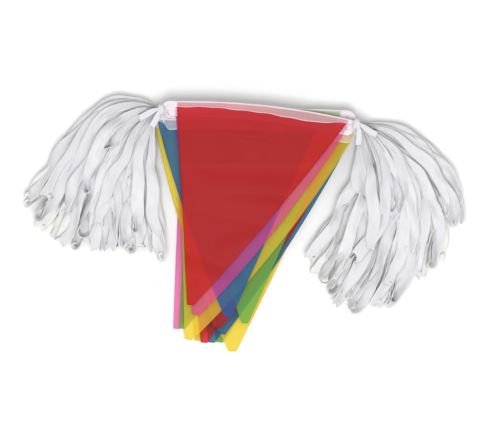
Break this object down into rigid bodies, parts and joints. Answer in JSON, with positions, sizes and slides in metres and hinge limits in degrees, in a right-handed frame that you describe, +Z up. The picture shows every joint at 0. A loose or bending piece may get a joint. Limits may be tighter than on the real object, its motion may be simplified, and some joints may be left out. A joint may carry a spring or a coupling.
{
  "type": "pennant bunting",
  "caption": "Cloth pennant bunting folded up flat: pennants in a slightly fanned pile, taped top edges, and the tape between them looped into a tied bunch at each upper corner.",
  "frame": {"origin": "middle of the folded bunting's box, on the surface that it lies on", "axes": "+X across the pennants from the left bunch to the right bunch, +Y from the tips to the taped edges, +Z up out of the surface"},
  "size_m": [0.5082, 0.292, 0.0355],
  "materials": {
    "nylon_red": "thin plain-woven nylon, slightly sheer, soft sheen",
    "nylon_pink": "thin plain-woven nylon, slightly sheer, soft sheen",
    "nylon_blue": "thin plain-woven nylon, slightly sheer, soft sheen",
    "nylon_yellow": "thin plain-woven nylon, slightly sheer, soft sheen",
    "nylon_green": "thin plain-woven nylon, slightly sheer, soft sheen",
    "tape": "thin white woven tape, slightly sheer, matt"
  },
  "bodies": {
    "root": {"pennant_01": "nylon_red", "binding_01": "tape", "pennant_02": "nylon_pink", "binding_02": "tape", "pennant_03": "nylon_blue", "binding_03": "tape", "pennant_04": "nylon_yellow", "binding_04": "tape", "pennant_05": "nylon_green", "binding_05": "tape", "pennant_06": "nylon_red", "binding_06": "tape", "pennant_07": "nylon_pink", "binding_07": "tape", "pennant_08": "nylon_blue", "binding_08": "tape", "pennant_09": "nylon_yellow", "binding_09": "tape", "pennant_10": "nylon_green", "binding_10": "tape", "pennant_11": "nylon_red", "binding_11": "tape", "pennant_12": "nylon_pink", "binding_12": "tape", "pennant_13": "nylon_blue", "binding_13": "tape", "pennant_14": "nylon_yellow", "binding_14": "tape", "pennant_15": "nylon_green", "binding_15": "tape", "bunch_left": "tape", "tie_left": "tape", "bunch_right": "tape", "tie_right": "tape"}
  },
  "joints": []
}
